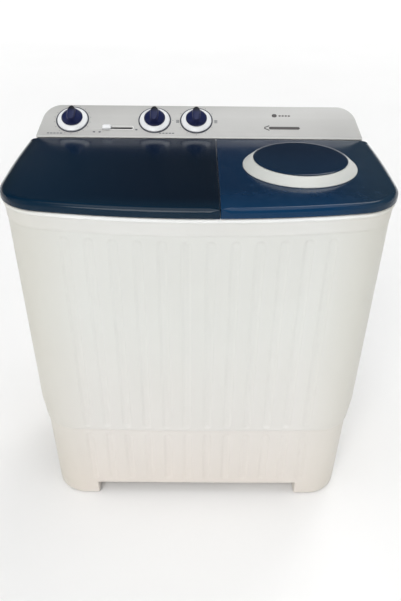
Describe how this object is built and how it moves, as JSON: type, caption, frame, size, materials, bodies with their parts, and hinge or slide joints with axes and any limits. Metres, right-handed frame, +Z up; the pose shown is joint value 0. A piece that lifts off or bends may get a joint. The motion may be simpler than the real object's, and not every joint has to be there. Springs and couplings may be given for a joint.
{
  "type": "twin tub washer",
  "caption": "Twin tub washing machine: off-white fluted cabinet on a footed base, two dark blue lids, a domed spin lid, and a sloping control panel with dials.",
  "frame": {"origin": "on the floor, under the centre of the machine's bounding box", "axes": "+X to the right seen from the front (towards the spin side), +Y to the back (towards the console), +Z up"},
  "size_m": [0.842, 0.536, 0.9557],
  "materials": {
    "cabinet_plastic": "satin off-white moulding",
    "base_plastic": "satin off-white moulding",
    "deck_plastic": "glossy white moulding",
    "back_panel": "matt grey-white sheet",
    "console_plastic": "satin light grey",
    "panel_silver": "silver-grey lacquer",
    "lid_blue_dark": "glossy dark blue, translucent",
    "lid_blue": "glossy blue, translucent",
    "window_blue": "glossy dark blue",
    "ring_cream": "satin warm white",
    "dial_line": "printed dark outline",
    "knob_skirt": "satin white",
    "knob_blue": "glossy navy",
    "tub_plastic": "white moulding",
    "basket_plastic": "pale blue-grey moulding",
    "pulsator_blue": "satin blue",
    "filter_blue": "blue moulding",
    "timer_body": "natural nylon",
    "pulley_grey": "black nylon",
    "pipe_grey": "grey moulding",
    "hose_grey": "grey moulding",
    "valve_rod": "natural moulding",
    "rubber_pad": "black rubber",
    "belt_rubber": "black rubber",
    "seal_rubber": "black rubber",
    "zinc_screw": "zinc plated",
    "steel_shaft": "ground steel",
    "spring_steel": "zinc plated wire",
    "galvanised": "galvanised sheet",
    "cast_aluminium": "as cast",
    "motor_alloy": "cast end shields",
    "bronze_bush": "sintered bronze",
    "capacitor": "white can"
  },
  "bodies": {
    "casing": {"base": "base_plastic", "foot_pads": "rubber_pad", "cabinet": "cabinet_plastic", "back_panel": "back_panel", "back_panel_screws": "zinc_screw", "top_deck": "deck_plastic", "wash_tub": "tub_plastic", "lint_filter": "filter_blue", "spin_tub": "tub_plastic", "console_housing": "console_plastic", "control_panel": "panel_silver", "dial_rings": "dial_line", "wash_timer": "timer_body", "drain_cam_box": "timer_body", "spin_timer": "timer_body", "inlet_box": "tub_plastic", "water_inlet": "hose_grey", "shaft_housing": "cast_aluminium", "shaft_bushes": "bronze_bush", "motor_rail": "galvanised", "wash_motor": "motor_alloy", "motor_mounts": "rubber_pad", "motor_bolts": "zinc_screw", "drive_belt": "belt_rubber", "spin_motor_plate": "galvanised", "spin_motor": "motor_alloy", "suspension_springs": "spring_steel", "spring_seats": "rubber_pad", "bellows_seal": "seal_rubber", "drain_valve": "pipe_grey", "drain_duct": "pipe_grey", "spin_drain_pipe": "pipe_grey", "drain_outlet": "hose_grey", "run_capacitors": "capacitor"},
    "wash_lid": {"wash_lid": "lid_blue_dark", "wash_lid_pins": "zinc_screw"},
    "spin_lid": {"spin_lid": "lid_blue", "spin_lid_pins": "zinc_screw", "spin_lid_ring": "ring_cream", "spin_lid_window": "window_blue"},
    "wash_timer_dial": {"wash_timer_skirt": "knob_skirt", "wash_timer_knob": "knob_blue", "wash_timer_shaft": "zinc_screw"},
    "drain_selector_dial": {"drain_selector_skirt": "knob_skirt", "drain_selector_knob": "knob_blue", "drain_selector_shaft": "zinc_screw"},
    "spin_timer_dial": {"spin_timer_skirt": "knob_skirt", "spin_timer_knob": "knob_blue", "spin_timer_shaft": "zinc_screw"},
    "water_selector": {"water_selector": "knob_skirt"},
    "pulsator": {"pulsator": "pulsator_blue", "pulsator_shaft": "steel_shaft", "drive_pulley": "pulley_grey"},
    "motor_rotor": {"motor_shaft": "steel_shaft", "motor_pulley": "cast_aluminium"},
    "spin_basket": {"spin_basket": "basket_plastic", "spin_shaft": "steel_shaft", "brake_drum": "galvanised"},
    "brake_lever": {"brake_lever": "galvanised"},
    "drain_plunger": {"drain_plunger": "valve_rod"}
  },
  "joints": [
    {"name": "wash_lid_hinge", "type": "hinge", "parent": "casing", "child": "wash_lid", "pos_m": [-0.186, 0.138, 0.879], "axis": [-1, 0, 0], "range_deg": [0, 100]},
    {"name": "spin_lid_hinge", "type": "hinge", "parent": "casing", "child": "spin_lid", "pos_m": [0.225, 0.138, 0.879], "axis": [-1, 0, 0], "range_deg": [0, 100]},
    {"name": "wash_timer_turn", "type": "hinge", "parent": "casing", "child": "wash_timer_dial", "pos_m": [-0.32, 0.20302, 0.92081], "axis": [0, -0.5145, 0.8575], "range_deg": [-300, 0]},
    {"name": "drain_selector_turn", "type": "hinge", "parent": "casing", "child": "drain_selector_dial", "pos_m": [-0.113, 0.20302, 0.92081], "axis": [0, -0.5145, 0.8575], "range_deg": [-90.5, 0]},
    {"name": "spin_timer_turn", "type": "hinge", "parent": "casing", "child": "spin_timer_dial", "pos_m": [-0.008, 0.20302, 0.92081], "axis": [0, -0.5145, 0.8575], "range_deg": [-300, 0]},
    {"name": "water_selector_slide", "type": "slide", "parent": "casing", "child": "water_selector", "axis": [1, 0, 0], "range_m": [0, 0.058]},
    {"name": "pulsator_spin", "type": "hinge", "parent": "casing", "child": "pulsator", "pos_m": [-0.18, -0.033, 0.222], "axis": [0, 0, 1], "continuous": true},
    {"name": "motor_rotor_spin", "type": "hinge", "parent": "casing", "child": "motor_rotor", "pos_m": [-0.025, 0.047, 0.222], "axis": [0, 0, 1], "continuous": true},
    {"name": "spin_basket_spin", "type": "hinge", "parent": "casing", "child": "spin_basket", "pos_m": [0.224, -0.033, 0.372], "axis": [0, 0, 1], "continuous": true},
    {"name": "brake_lever_turn", "type": "hinge", "parent": "casing", "child": "brake_lever", "pos_m": [0.304, 0.04, 0.242], "axis": [0, 0, 1], "range_deg": [-3.3, 0]},
    {"name": "drain_plunger_lift", "type": "slide", "parent": "casing", "child": "drain_plunger", "axis": [0, 0, 1], "range_m": [0, 0.01]}
  ],
  "couplings": [
    {"joint": "motor_rotor_spin", "follows": "pulsator_spin", "ratio": 4.5149},
    {"joint": "brake_lever_turn", "follows": "spin_lid_hinge", "ratio": -0.032},
    {"joint": "drain_selector_turn", "follows": "drain_plunger_lift", "rad_per_m": -157.08}
  ]
}
